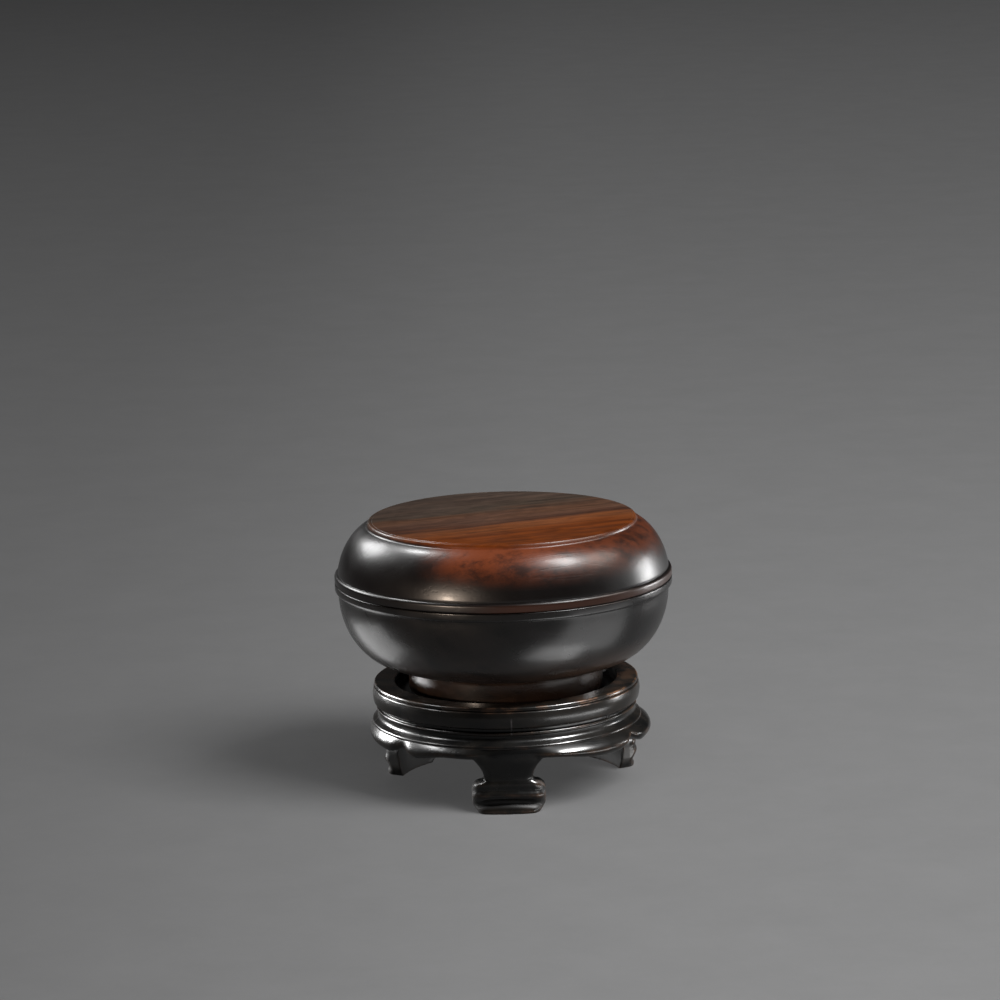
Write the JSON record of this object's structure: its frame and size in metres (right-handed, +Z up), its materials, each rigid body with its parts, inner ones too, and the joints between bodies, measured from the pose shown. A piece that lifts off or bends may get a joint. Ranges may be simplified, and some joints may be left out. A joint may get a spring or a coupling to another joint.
{
  "type": "incense box on stand",
  "caption": "Round turned hardwood incense box with a lift-off lid, on a carved round stand with scroll feet.",
  "frame": {"origin": "centre of the box's outline on the plane that the stand's feet rest on", "axes": "+Z up along the turning axis, -Y towards the middle leg and the viewer of the picture, +X to the viewer's right"},
  "size_m": [0.08, 0.08, 0.0644],
  "materials": {
    "lid_wood": "dark hardwood with an orange-brown streaky flat top, polished to a satin gloss",
    "bowl_wood": "near-black hardwood, polished to a satin gloss",
    "stand_wood": "near-black hardwood, polished, worn brown along its edges"
  },
  "bodies": {
    "root": {"lid": "lid_wood", "bowl": "bowl_wood", "stand": "stand_wood"}
  },
  "joints": []
}
